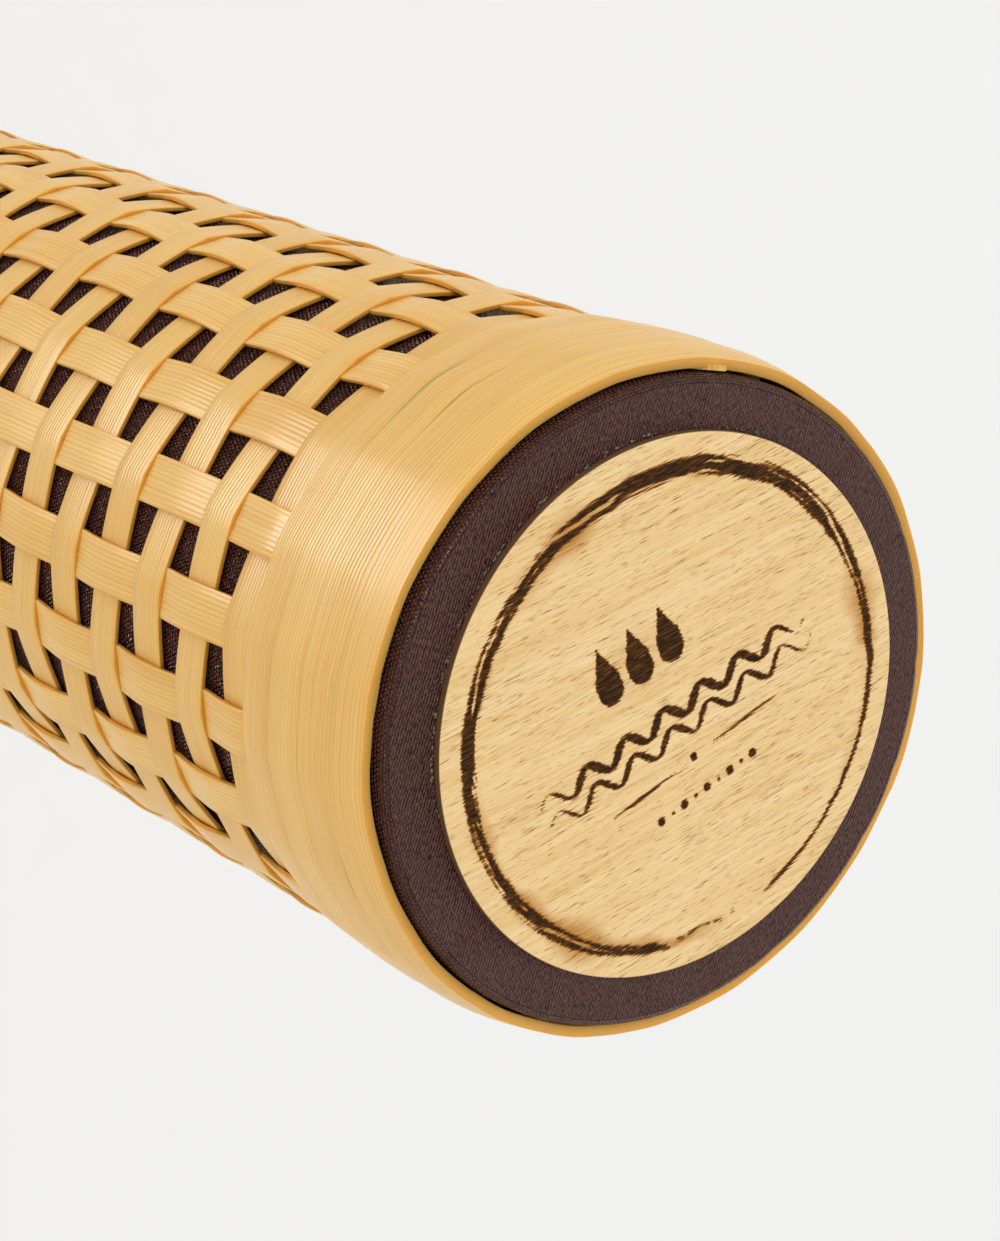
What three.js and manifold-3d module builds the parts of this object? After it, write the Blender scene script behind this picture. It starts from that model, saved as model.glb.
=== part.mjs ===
// Rainstick: a cardboard tube full of crossing nails and loose grains, wrapped in cloth,
// with a plaited jacket of flat strands and a wooden disc glued on each end.
// Units are millimetres. The stick stands along +Z with the middle of its lower disc at the origin.

import * as THREE from 'three';
import { mergeVertices } from 'three/addons/utils/BufferGeometryUtils.js';
import Module from 'manifold-3d';

// Overall sizes
const stickLength = 600;
const weaveDiameter = 80;

// Plaited jacket
const stakeCount = 21;
const strandWidth = 6;
const strandThickness = 1;
const borderHoopCount = 4;
const borderHoopPitch = 5.95;
const borderHoopThickness = 2;
const borderGrooveDepth = 0.4;
const borderGrooveWidth = 1.0;
const borderSetback = 1.6;
const stakeEndCover = 1.2;

// Cloth cover, tube and ends
const clothThickness = 0.5;
const clothTurnIn = 14;
const tubeWall = 3.2;
const tubeEdgeRadius = 1;
const discThickness = 0.6;
const discMargin = 7.9;
const plugThickness = 12;
const plugChamfer = 1;

// Nails
const nailCount = 22;
const nailDirections = 16;
const nailStepsPerTurn = 3;
const nailDiameter = 1.8;
const nailHeadDiameter = 4;
const nailHeadThickness = 1;
const nailHeadSink = 0.2;
const nailPointLength = 2.5;
const nailTipClearance = 9;
const nailEndMargin = 45;

// Loose grains
const grainCount = 8;
const grainDiameter = 5;
const grainWallClearance = 4.5;

// Clearances and roundness
const fitGap = 0.3;
const weaveGap = 0.15;
const ringSegments = 2 * stakeCount;
const edgeSteps = 4;
const holeSegments = 10;
const shankSegments = 8;
const grainSegments = 8;
const cutOvershoot = 2;

// Radii, worked out from the outside of the weave inwards
const weaveRadius = weaveDiameter / 2;
const weaverInner = weaveRadius - strandThickness;
const weaverFlatInner = weaverInner * Math.cos(Math.PI / ringSegments);
const stakeCornerRadius = weaverFlatInner - weaveGap;
const stakeOuter = Math.sqrt(stakeCornerRadius ** 2 - (strandWidth / 2) ** 2);
const stakeInner = stakeOuter - strandThickness;
const clothOuter = stakeInner - weaveGap;
const clothInner = clothOuter - clothThickness;
const tubeOuter = clothInner - fitGap;
const tubeInner = tubeOuter - tubeWall;
const discRadius = weaveRadius - discMargin;

// Heights, worked out from the lower disc upwards; the upper end mirrors the lower one
const clothEnd = discThickness + fitGap;
const tubeEnd = clothEnd + clothThickness + fitGap;
const borderEnd = clothEnd + borderSetback;
const borderLength = borderHoopCount * borderHoopPitch;
const stakeEnd = borderEnd + stakeEndCover;
const plugInnerFace = tubeEnd + plugThickness;

const materials = {
  rattan: new THREE.MeshStandardMaterial({ color: '#e8bc74', roughness: 0.42, metalness: 0 }),
  cloth: new THREE.MeshStandardMaterial({ color: '#43272b', roughness: 0.7, metalness: 0 }),
  cardboard: new THREE.MeshStandardMaterial({ color: '#a8835a', roughness: 0.9, metalness: 0 }),
  plugBoard: new THREE.MeshStandardMaterial({ color: '#bf9b68', roughness: 0.85, metalness: 0 }),
  veneer: new THREE.MeshStandardMaterial({ color: '#ebcb8b', roughness: 0.6, metalness: 0 }),
  steel: new THREE.MeshStandardMaterial({ color: '#9a9c9e', roughness: 0.35, metalness: 1 }),
  pebble: new THREE.MeshStandardMaterial({ color: '#8c8173', roughness: 0.55, metalness: 0 }),
};

const object = new THREE.Group();

function addPiece(name, geometry, material) {
  const mesh = new THREE.Mesh(geometry, material);
  mesh.name = name;
  object.add(mesh);
  return mesh;
}

// Turns an outline of (radius, height) points about the Z axis. The outline runs anticlockwise
// with radius to the right and height upwards, and closes on itself.
function turned(outline) {
  const closed = [...outline, outline[0].clone()];
  const geometry = new THREE.LatheGeometry(closed, ringSegments);
  geometry.rotateX(Math.PI / 2);
  return geometry;
}

// Points on a quarter circle about (radius, height), from one angle to another.
function quarter(centreRadius, centreHeight, cornerRadius, startAngle, endAngle) {
  const points = [];
  for (let step = 0; step <= edgeSteps; step += 1) {
    const angle = THREE.MathUtils.lerp(startAngle, endAngle, step / edgeSteps);
    const radius = centreRadius + cornerRadius * Math.cos(angle);
    const height = centreHeight + cornerRadius * Math.sin(angle);
    points.push(new THREE.Vector2(radius, height));
  }
  return points;
}

// The outer side of a tube whose two outer edges are rounded, from its low end to its high end.
function roundedSide(outer, low, high, edgeRadius) {
  const centreRadius = outer - edgeRadius;
  const lowEdge = quarter(centreRadius, low + edgeRadius, edgeRadius, -Math.PI / 2, 0);
  const highEdge = quarter(centreRadius, high - edgeRadius, edgeRadius, 0, Math.PI / 2);
  return [...lowEdge, ...highEdge];
}

const wasm = await Module();
wasm.setup();

function solidFrom(geometry) {
  const bare = geometry.clone();
  bare.deleteAttribute('normal');
  bare.deleteAttribute('uv');
  const merged = mergeVertices(bare);
  const vertProperties = new Float32Array(merged.attributes.position.array);
  const triVerts = new Uint32Array(merged.index.array);
  return new wasm.Manifold(new wasm.Mesh({ numProp: 3, vertProperties, triVerts }));
}

function geometryFrom(solid) {
  const mesh = solid.getMesh();
  const geometry = new THREE.BufferGeometry();
  geometry.setAttribute('position', new THREE.BufferAttribute(mesh.vertProperties, 3));
  geometry.setIndex(new THREE.BufferAttribute(mesh.triVerts, 1));
  geometry.computeVertexNormals();
  return geometry;
}

// Nails stand on a spiral: each is one rise higher and a few directions further round.
const nailAngleStep = (nailStepsPerTurn * 2 * Math.PI) / nailDirections;
const nailRise = (stickLength - 2 * nailEndMargin) / (nailCount - 1);
const nailHeadFace = tubeOuter - nailHeadSink;
const nailLength = nailHeadFace + tubeInner - nailTipClearance;

function nailPlace(index) {
  return { angle: index * nailAngleStep, height: nailEndMargin + index * nailRise };
}

// Lays a shape made along +Y, with its outer end at Y = 0, on a spoke of the tube, so that its
// outer end looks outwards at the given distance from the axis.
function layOnSpoke(geometry, place, distance) {
  geometry.rotateZ(-Math.PI / 2);
  geometry.translate(distance, 0, 0);
  geometry.rotateZ(place.angle);
  geometry.translate(0, 0, place.height);
  return geometry;
}

// A hole for one nail: the shank's bore and the sink for its head, overshooting the wall.
function nailHole(place) {
  const boreRadius = nailDiameter / 2 + fitGap;
  const sinkRadius = nailHeadDiameter / 2 + fitGap;
  const sinkDepth = nailHeadSink + nailHeadThickness + fitGap;
  const boreDepth = tubeWall + cutOvershoot;
  const outline = [
    new THREE.Vector2(0, -boreDepth),
    new THREE.Vector2(boreRadius, -boreDepth),
    new THREE.Vector2(boreRadius, -sinkDepth),
    new THREE.Vector2(sinkRadius, -sinkDepth),
    new THREE.Vector2(sinkRadius, cutOvershoot),
    new THREE.Vector2(0, cutOvershoot),
  ];
  return layOnSpoke(new THREE.LatheGeometry(outline, holeSegments), place, tubeOuter);
}

function coreTube() {
  const high = stickLength - tubeEnd;
  const outline = [
    new THREE.Vector2(tubeInner, tubeEnd),
    ...roundedSide(tubeOuter, tubeEnd, high, tubeEdgeRadius),
    new THREE.Vector2(tubeInner, high),
  ];
  let solid = solidFrom(turned(outline));
  for (let index = 0; index < nailCount; index += 1) {
    solid = solid.subtract(solidFrom(nailHole(nailPlace(index))));
  }
  return geometryFrom(solid);
}

function nail(place) {
  const shankRadius = nailDiameter / 2;
  const headRadius = nailHeadDiameter / 2;
  const outline = [
    new THREE.Vector2(0, -nailLength),
    new THREE.Vector2(shankRadius, nailPointLength - nailLength),
    new THREE.Vector2(shankRadius, -nailHeadThickness),
    new THREE.Vector2(headRadius, -nailHeadThickness),
    new THREE.Vector2(headRadius, 0),
    new THREE.Vector2(0, 0),
  ];
  return layOnSpoke(new THREE.LatheGeometry(outline, shankSegments), place, nailHeadFace);
}

// The cloth runs up the tube, over both rounded edges and in across the end faces.
function clothCover() {
  const high = stickLength - clothEnd;
  const outerEdge = tubeEdgeRadius + fitGap + clothThickness;
  const innerEdge = outerEdge - clothThickness;
  const turnedIn = clothOuter - outerEdge - clothTurnIn;
  const lowInside = clothEnd + clothThickness;
  const highInside = high - clothThickness;
  const outline = [
    new THREE.Vector2(turnedIn, clothEnd),
    ...roundedSide(clothOuter, clothEnd, high, outerEdge),
    new THREE.Vector2(turnedIn, high),
    new THREE.Vector2(turnedIn, highInside),
    ...roundedSide(clothInner, lowInside, highInside, innerEdge).reverse(),
    new THREE.Vector2(turnedIn, lowInside),
  ];
  return turned(outline);
}

// The lower plug, a board disc pressed into the tube with a chamfered inner edge.
function endPlug() {
  const radius = tubeInner * Math.cos(Math.PI / ringSegments) - fitGap;
  const outline = [
    new THREE.Vector2(0, tubeEnd),
    new THREE.Vector2(radius, tubeEnd),
    new THREE.Vector2(radius, plugInnerFace - plugChamfer),
    new THREE.Vector2(radius - plugChamfer, plugInnerFace),
    new THREE.Vector2(0, plugInnerFace),
  ];
  return turned(outline);
}

function endDisc() {
  const outline = [
    new THREE.Vector2(0, 0),
    new THREE.Vector2(discRadius, 0),
    new THREE.Vector2(discRadius, discThickness),
    new THREE.Vector2(0, discThickness),
  ];
  return turned(outline);
}

// The lower border: one strand wound round and round with no gap, a groove between its turns.
function borderBinding() {
  const inner = weaverInner;
  const outer = inner + borderHoopThickness;
  const groove = outer - borderGrooveDepth;
  const outline = [new THREE.Vector2(inner, borderEnd)];
  for (let hoop = 0; hoop < borderHoopCount; hoop += 1) {
    const low = borderEnd + hoop * borderHoopPitch;
    const high = low + borderHoopPitch;
    outline.push(new THREE.Vector2(groove, low));
    outline.push(new THREE.Vector2(outer, low + borderGrooveWidth / 2));
    outline.push(new THREE.Vector2(outer, high - borderGrooveWidth / 2));
  }
  outline.push(new THREE.Vector2(groove, borderEnd + borderLength));
  outline.push(new THREE.Vector2(inner, borderEnd + borderLength));
  return turned(outline);
}

// The spiral weaver's envelope between the two borders.
function weaverSpiral() {
  const low = borderEnd + borderLength + fitGap;
  const high = stickLength - low;
  const outline = [
    new THREE.Vector2(weaverInner, low),
    new THREE.Vector2(weaveRadius, low),
    new THREE.Vector2(weaveRadius, high),
    new THREE.Vector2(weaverInner, high),
  ];
  return turned(outline);
}

// Turns a lower-end shape over, to make the same piece for the upper end.
function turnedOver(geometry) {
  const upper = geometry.clone();
  upper.rotateX(Math.PI);
  upper.translate(0, 0, stickLength);
  return upper;
}

function addEndPair(name, geometry, material) {
  addPiece(`${name}_bottom`, geometry, material);
  addPiece(`${name}_top`, turnedOver(geometry), material);
}

function addStake(index) {
  const length = stickLength - 2 * stakeEnd;
  const geometry = new THREE.BoxGeometry(strandThickness, strandWidth, length);
  const stake = addPiece(`stake_${index + 1}`, geometry, materials.rattan);
  const angle = (index * 2 * Math.PI) / stakeCount;
  const radius = stakeInner + strandThickness / 2;
  stake.position.set(radius * Math.cos(angle), radius * Math.sin(angle), stickLength / 2);
  stake.rotation.z = angle;
}

// The grains rest on the lower plug, each on a line that passes between the nails' directions.
function addGrain(index) {
  const grainRadius = grainDiameter / 2;
  const circleRadius = tubeInner - grainWallClearance - grainRadius;
  const angle = (index * 2 * Math.PI) / grainCount + Math.PI / nailDirections;
  const geometry = new THREE.SphereGeometry(grainRadius, grainSegments, grainSegments);
  geometry.rotateX(Math.PI / 2);
  const grain = addPiece(`grain_${index + 1}`, geometry, materials.pebble);
  const height = plugInnerFace + fitGap + grainRadius;
  grain.position.set(circleRadius * Math.cos(angle), circleRadius * Math.sin(angle), height);
}

addPiece('core_tube', coreTube(), materials.cardboard);
addEndPair('end_plug', endPlug(), materials.plugBoard);
for (let index = 0; index < nailCount; index += 1) {
  addPiece(`nail_${index + 1}`, nail(nailPlace(index)), materials.steel);
}
for (let index = 0; index < grainCount; index += 1) {
  addGrain(index);
}
addPiece('cloth_cover', clothCover(), materials.cloth);
for (let index = 0; index < stakeCount; index += 1) {
  addStake(index);
}
addPiece('weaver_spiral', weaverSpiral(), materials.rattan);
addEndPair('border_binding', borderBinding(), materials.rattan);
addEndPair('end_disc', endDisc(), materials.veneer);

export default object;
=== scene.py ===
# %% [markdown]
# A rainstick: a cardboard tube with a spiral of nails and loose grains inside, wrapped in dark
# book cloth, and dressed in an open basket weave of flat rattan strand. A thin wooden disc
# closes each end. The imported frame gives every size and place, in metres, with the stick
# standing along +Z. This file adds the real look, one kind of piece at a time.

# %% Load the frame
import bpy
import math
import random
import numpy as np
from mathutils import Matrix, Vector


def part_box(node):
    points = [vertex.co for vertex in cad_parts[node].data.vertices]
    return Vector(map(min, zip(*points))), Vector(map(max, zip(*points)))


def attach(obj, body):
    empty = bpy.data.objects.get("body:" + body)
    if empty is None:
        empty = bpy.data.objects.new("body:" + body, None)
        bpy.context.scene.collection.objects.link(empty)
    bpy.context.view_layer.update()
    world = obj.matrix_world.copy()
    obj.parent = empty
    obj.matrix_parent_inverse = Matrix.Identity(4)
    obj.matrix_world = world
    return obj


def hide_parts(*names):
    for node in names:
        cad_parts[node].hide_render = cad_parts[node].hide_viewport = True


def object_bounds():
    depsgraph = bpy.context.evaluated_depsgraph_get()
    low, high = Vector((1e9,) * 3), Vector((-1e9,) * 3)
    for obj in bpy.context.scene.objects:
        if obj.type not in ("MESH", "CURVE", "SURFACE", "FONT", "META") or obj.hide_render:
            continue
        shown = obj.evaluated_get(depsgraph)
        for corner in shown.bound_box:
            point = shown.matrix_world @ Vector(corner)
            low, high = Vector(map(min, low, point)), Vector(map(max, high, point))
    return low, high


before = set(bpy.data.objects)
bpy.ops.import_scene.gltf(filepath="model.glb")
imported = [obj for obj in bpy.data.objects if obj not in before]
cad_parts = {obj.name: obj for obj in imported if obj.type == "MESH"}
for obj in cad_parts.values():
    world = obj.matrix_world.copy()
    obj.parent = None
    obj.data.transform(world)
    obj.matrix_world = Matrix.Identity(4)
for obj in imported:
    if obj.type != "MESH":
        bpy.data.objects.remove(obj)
cad_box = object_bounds()
MM = 0.001

# %% [markdown]
# The sizes that everything else hangs on come from the frame: how tall the stick is, how far
# out the weave and the discs reach, and how high the cloth and the stakes stand.

# %% Measure the frame
STAKES = 21
top = cad_box[1][2]
weave_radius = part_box("weaver_spiral")[1].x
cloth_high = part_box("cloth_cover")[1].z
disc_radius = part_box("end_disc_top")[1].x
stake_low, stake_high = (corner.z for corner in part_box("stake_1"))
strand_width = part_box("stake_1")[1].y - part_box("stake_1")[0].y
stake_angle = 2 * math.pi / STAKES
print("weave radius %.1f mm, height %.1f mm" % (weave_radius / MM, top / MM))

# %% [markdown]
# The camera looks down on the upper end from close by with a long lens, turned well over on
# its side, so the stick runs off to the left. It is placed by how far it stands from the end
# disc, sideways and upwards, and turned about its own line of sight.

# %% Camera
CAMERA_TURN = math.radians(-12.68)
CAMERA_PITCH = math.radians(38.73)
CAMERA_ROLL = math.radians(113.79)
CAMERA_SIDE = -1.43 * MM
CAMERA_BACK = 261.46 * MM
CAMERA_ABOVE = 291.43 * MM
CAMERA_LENS = 100.74
camera_data = bpy.data.cameras.new("camera")
camera_data.lens = CAMERA_LENS
camera_data.sensor_width = 36
camera_data.clip_start = 0.01
camera_data.dof.use_dof = False
camera = bpy.data.objects.new("camera", camera_data)
bpy.context.scene.collection.objects.link(camera)
around = Matrix.Rotation(CAMERA_TURN, 4, "Z")
aim = Matrix.Rotation(CAMERA_PITCH, 4, "X") @ Matrix.Rotation(CAMERA_ROLL, 4, "Z")
stand = Matrix.Translation((CAMERA_SIDE, -CAMERA_BACK, top + CAMERA_ABOVE))
camera.matrix_world = around @ stand @ aim
bpy.context.scene.camera = camera
print("camera at", [round(v, 3) for v in camera.matrix_world.translation])

# %% [markdown]
# Before modelling, a few small helpers: select one object alone, open it in edit mode with
# nothing selected, merge doubled points and face outwards, and turn an sRGB hex colour into
# Blender's linear one.

# %% Helpers for modelling
def only(piece):
    """Selects this object alone and makes it the active one."""
    bpy.ops.object.select_all(action="DESELECT")
    piece.select_set(True)
    bpy.context.view_layer.objects.active = piece
    return piece


def edit(piece, mode="FACE"):
    """Enters edit mode with nothing selected."""
    only(piece)
    bpy.ops.object.mode_set(mode="EDIT")
    bpy.ops.mesh.select_mode(type=mode)
    bpy.ops.mesh.select_all(action="DESELECT")


def tidy_mesh(piece, smooth_angle=40):
    """Merges doubled points, faces every polygon outwards and smooths all but sharp edges."""
    edit(piece, "VERT")
    bpy.ops.mesh.select_all(action="SELECT")
    bpy.ops.mesh.remove_doubles(threshold=0.001 * MM)
    bpy.ops.mesh.normals_make_consistent(inside=False)
    bpy.ops.object.mode_set(mode="OBJECT")
    bpy.ops.object.shade_smooth_by_angle(angle=math.radians(smooth_angle))
    return piece


def colour(hex_code):
    """An sRGB hex colour as linear RGBA."""
    values = [int(hex_code[i:i + 2], 16) / 255 for i in (1, 3, 5)]
    return [v / 12.92 if v <= 0.04045 else ((v + 0.055) / 1.055) ** 2.4 for v in values] + [1]


# %% [markdown]
# The weave is plain: every strand goes over one and under one. A single long weaver spirals
# round an odd number of stakes, so each turn meets each stake the other way from the turn
# before. The first and last turns lie level against the end bindings, and the spiral eases in
# over the next few turns. One function says how far down the stick the weaver is after any
# number of turns, and both families of strand take their crossings from it.

# %% The weaver's path
WEAVE_MARGIN = 29.5 * MM
TURNS = 52
FIRST_LEVEL = 6
START_STAKE = -2
EASE_FROM = 1
EASE_TO = 6
weaver_pitch = (top - 2 * WEAVE_MARGIN) / TURNS


def smooth_step(low, high, value):
    """0 up to the low value, 1 from the high value on, and an S-shaped rise between."""
    part = min(max((value - low) / (high - low), 0), 1)
    return part * part * (3 - 2 * part)


def weaver_drop(crossing):
    """Depth of the weaver below the top face at a crossing number, which may be a fraction."""
    turns = min(max((crossing - FIRST_LEVEL) / STAKES, 0), TURNS)
    level = 1 - smooth_step(EASE_FROM, EASE_TO, min(turns, TURNS - turns))
    eased = turns - level * math.sin(2 * math.pi * turns) / (2 * math.pi)
    return WEAVE_MARGIN + weaver_pitch * eased


last_crossing = 2 * FIRST_LEVEL - START_STAKE + STAKES * TURNS
print("weaver pitch %.2f mm, %d crossings" % (weaver_pitch / MM, last_crossing - START_STAKE))

# %% [markdown]
# Both families are the same flat strand. Where it lies outside it touches the weave's outer
# radius, and where it dips inside, the strand above it still has a hair of room. Between
# crossings it swings over in a wave: a cosine with a little of its third harmonic added is
# nearly straight in the gap and bends at the crossing, as a stiff strip does.

# %% The strand's section and wave
strand_thickness = 0.66 * MM
strand_crown = 0.04 * MM
strand_edge = 0.13 * MM
crossing_air = 0.17 * MM
outer_line = weave_radius - strand_thickness / 2
inner_line = outer_line - strand_thickness - crossing_air
BEND = 0.09
chord_sag = weave_radius * (1 - math.cos(stake_angle / 2))


def wave(phase, bow):
    """1 at the crossing where the strand is outside, 0 at the next where it is inside."""
    angle = math.pi * phase
    return 0.5 + 0.5 * (math.cos(angle) + bow * math.cos(3 * angle)) / (1 + bow)


def flat_section(width, thickness, along_x, crown=strand_crown):
    """The outline of a flat strand with a faintly crowned outer face and rounded edges."""
    half = width / 2
    inner = half - strand_edge
    side = thickness / 2 - strand_edge
    outline = [(-inner, -thickness / 2), (inner, -thickness / 2), (half, -side), (half, side)]
    for across in (inner, inner / 2, 0, -inner / 2, -inner):
        rise = thickness / 2 - crown * (across / half) ** 2
        outline.append((across, rise))
    outline += [(-half, side), (-half, -side)]
    if along_x:
        return outline
    return [(y, -x) for x, y in outline]


# %% [markdown]
# A strand is drawn as a route with a flat section run along it, the way a cable is: a curve
# object takes the section as its bevel and is then made a mesh. The section keeps upright
# because the curve's twist is set to Z-up. A UV map called "strand" stores the real distance
# along and across the strand, so that grooves and streaks follow it round every bend. Each
# strand starts further along that map than the one before, so no two are streaked alike.

# %% Run a section along a route
MAP_START_STEP = 0.37
MAP_STARTS = 40
CAP_ACROSS = 1.0 * MM


def section_object(outline):
    data = bpy.data.curves.new("section", "CURVE")
    data.dimensions = "2D"
    spline = data.splines.new("POLY")
    spline.points.add(len(outline) - 1)
    for point, place in zip(spline.points, outline):
        point.co = (place[0], place[1], 0, 1)
    spline.use_cyclic_u = True
    section = bpy.data.objects.new("section", data)
    bpy.context.scene.collection.objects.link(section)
    return section


def strand_along(name, route, outline, across_axis, closed=False):
    """A mesh strand with this section along the route, with its own strand UV map."""
    data = bpy.data.curves.new(name, "CURVE")
    data.dimensions = "3D"
    data.twist_mode = "Z_UP"
    spline = data.splines.new("POLY")
    spline.points.add(len(route) - 1)
    for index, place in enumerate(route):
        spline.points[index].co = (*place, 1)
    spline.use_cyclic_u = closed
    section = section_object(outline)
    data.bevel_mode = "OBJECT"
    data.bevel_object = section
    data.use_fill_caps = not closed
    strand = bpy.data.objects.new(name, data)
    bpy.context.scene.collection.objects.link(strand)
    only(strand)
    bpy.ops.object.convert(target="MESH")
    strand = bpy.context.object
    steps = np.linalg.norm(np.diff(np.array(route), axis=0), axis=1)
    start = MAP_START_STEP * (len(bpy.data.meshes) % MAP_STARTS)
    along = np.concatenate([[0], np.cumsum(steps)]) + start
    across = np.array([place[across_axis] for place in outline])
    uv = np.full((len(strand.data.vertices), 2), along[0])
    body = len(route) * len(outline)
    uv[:body, 0] = np.repeat(along, len(outline))
    uv[:body, 1] = np.tile(across, len(route))
    uv[body:, 1] = CAP_ACROSS
    for layer in list(strand.data.uv_layers):
        strand.data.uv_layers.remove(layer)
    layer = strand.data.uv_layers.new(name="strand")
    corners = np.zeros(len(strand.data.loops), np.int32)
    strand.data.loops.foreach_get("vertex_index", corners)
    layer.data.foreach_set("uv", uv[corners].astype(np.float32).ravel())
    bpy.data.objects.remove(section)
    return strand


# %% [markdown]
# A stake runs the whole height. It lies against the cloth under the bindings, then goes over
# and under the weaver's turns. Each stake is drawn lying along X, where Z-up twist keeps it
# flat, and then stood up and turned to its place. Hand weaving is never quite even, so each
# stake wanders a fraction of a millimetre to the side, from a seeded random number. A few
# stakes were cut longer and on a slant, so their upper ends show on the cloth inside the rim.

# %% Stakes
STEPS_PER_CROSSING = 8
random.seed(7)
stake_section = flat_section(strand_width, strand_thickness, True)
UNDER_BINDING = 24.0 * MM
LONG_ENDS = {11: 1.7 * MM, 16: 2.6 * MM, 17: 2.75 * MM, 18: 2.7 * MM}
SLANT = 2.2 * MM
END_DROP = 5 * MM
END_SPREAD = 0.5 * MM
RISE_SHORT = 0.7 * MM
STAKE_BEND = 0.02
stake_pieces = []


def stake_levels(index):
    """(drop, outside) at each crossing of this stake, from the top down."""
    first = (-index - START_STAKE) % STAKES + START_STAKE
    return [(weaver_drop(c), c % 2 == 0) for c in range(first, last_crossing + 1, STAKES)]


def swing(levels, drop):
    """The stake's distance from the axis at this depth below the top face."""
    before = None
    for level in levels:
        if level[0] > drop:
            break
        before = level
    else:
        level = None
    if before is None:
        rise = smooth_step(UNDER_BINDING, levels[0][0] - RISE_SHORT, drop)
        return inner_line + (outer_line - inner_line) * rise * levels[0][1]
    if level is None:
        rise = smooth_step(UNDER_BINDING, top - levels[-1][0] - RISE_SHORT, top - drop)
        return inner_line + (outer_line - inner_line) * rise * levels[-1][1]
    part = (drop - before[0]) / (level[0] - before[0])
    if before[1] == level[1]:
        return outer_line if before[1] else inner_line
    share = wave(part, STAKE_BEND) if before[1] else wave(1 - part, STAKE_BEND)
    return inner_line + (outer_line - inner_line) * share


for index in range(STAKES):
    levels = stake_levels(index)
    reach = END_SPREAD * random.random()
    upper_end = LONG_ENDS.get(index, top - stake_high + END_DROP + reach)
    wander = random.uniform(0.15, 0.35) * MM
    wander_start = random.uniform(0, 6.28)
    wander_rate = random.uniform(60, 90)
    drops = [upper_end, UNDER_BINDING]
    stops = [(UNDER_BINDING, 0)] + levels + [(top - UNDER_BINDING, 0)]
    for before, after in zip(stops, stops[1:]):
        drops += [before[0] + (after[0] - before[0]) * (s + 1) / STEPS_PER_CROSSING
                  for s in range(STEPS_PER_CROSSING)]
    drops.append(top - stake_low - END_DROP - reach)
    route = []
    for drop in drops:
        side = wander * math.sin(wander_start + drop * wander_rate)
        route.append((top - drop, side, swing(levels, drop)))
    piece = strand_along("stake_strand_%d" % (index + 1), route, stake_section, 0)
    for point in piece.data.vertices:
        if index in LONG_ENDS and point.co.x > route[0][0] - 0.01 * MM:
            point.co.x -= SLANT * (0.5 - point.co.y / strand_width)
    stand_up = Matrix(((0, 0, 1, 0), (0, -1, 0, 0), (1, 0, 0, 0), (0, 0, 0, 1)))
    piece.data.transform(Matrix.Rotation(index * stake_angle, 4, "Z") @ stand_up)
    tidy_mesh(piece, 50)
    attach(piece, "stick")
    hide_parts("stake_%d" % (index + 1))
    stake_pieces.append(piece)
print("stakes:", len(stake_pieces), "each", len(stake_pieces[0].data.polygons), "faces")

# %% [markdown]
# The weaver is one strand about thirteen metres long. Its route climbs from the lower binding
# to the upper one, outside at every odd crossing and inside at every even one. Pulled tight,
# it cuts the corner a little between two stakes, by a share of the chord's full sag.

# %% Weaver
STEPS_PER_STAKE = 6
SAG_SHARE = 0.4
weaver_section = flat_section(strand_width, strand_thickness, False)
weaver_route = []
for step in range((last_crossing - START_STAKE) * STEPS_PER_STAKE, -1, -1):
    crossing = START_STAKE + step / STEPS_PER_STAKE
    angle = -crossing * stake_angle
    share = wave(crossing - 1, BEND)
    between = crossing - math.floor(crossing)
    radius = inner_line + (outer_line - inner_line) * share
    radius -= chord_sag * SAG_SHARE * 4 * between * (1 - between)
    height = top - weaver_drop(crossing)
    weaver_route.append((radius * math.cos(angle), radius * math.sin(angle), height))
weaver = strand_along("weaver_strand", weaver_route, weaver_section, 1)
tidy_mesh(weaver, 50)
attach(weaver, "stick")
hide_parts("weaver_spiral")
print("weaver:", len(weaver.data.polygons), "faces")

# %% [markdown]
# Each end is bound with four turns of the same strand laid side by side. Every turn runs
# straight from stake to stake and bends over each one, so a binding is really a polygon with
# soft corners. The turn at the very end leans inwards over the cut ends of the stakes, and the
# turns lap each other slightly, as shingles do. The depth, inner radius near the end, inner
# radius away from it, width, thickness, and how straight it runs between stakes are listed
# for each turn, and its section is leaned to match. Bent this tightly, the strand bulges a
# little more across its width, so the joints show as shallow grooves. At one bend the third
# turn has slipped away from the second and left a hairline gap.

# %% Bindings
BINDING_TURNS = [
    (5.30 * MM, 38.58 * MM, 39.44 * MM, 5.85 * MM, 1.46 * MM, 0.3),
    (11.20 * MM, 39.70 * MM, 39.87 * MM, 6.16 * MM, 1.16 * MM, 0.62),
    (17.36 * MM, 39.74 * MM, 39.87 * MM, 6.2 * MM, 1.16 * MM, 0.72),
    (23.32 * MM, 39.80 * MM, 39.44 * MM, 5.95 * MM, 1.16 * MM, 0.75),
]
BEND_HALF_ANGLE = math.radians(3.4)
binding_crown = 0.15 * MM
LOOSE_TURN = 2
LOOSE_STAKE = 13
LOOSE_GAP = 0.42 * MM
BEND_PARTS = (-0.3, -0.18, -0.09, 0, 0.09, 0.18, 0.3, 0.5)
BEND_PINCH = 0.0026
BEND_SHARPNESS = 1.6


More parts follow.
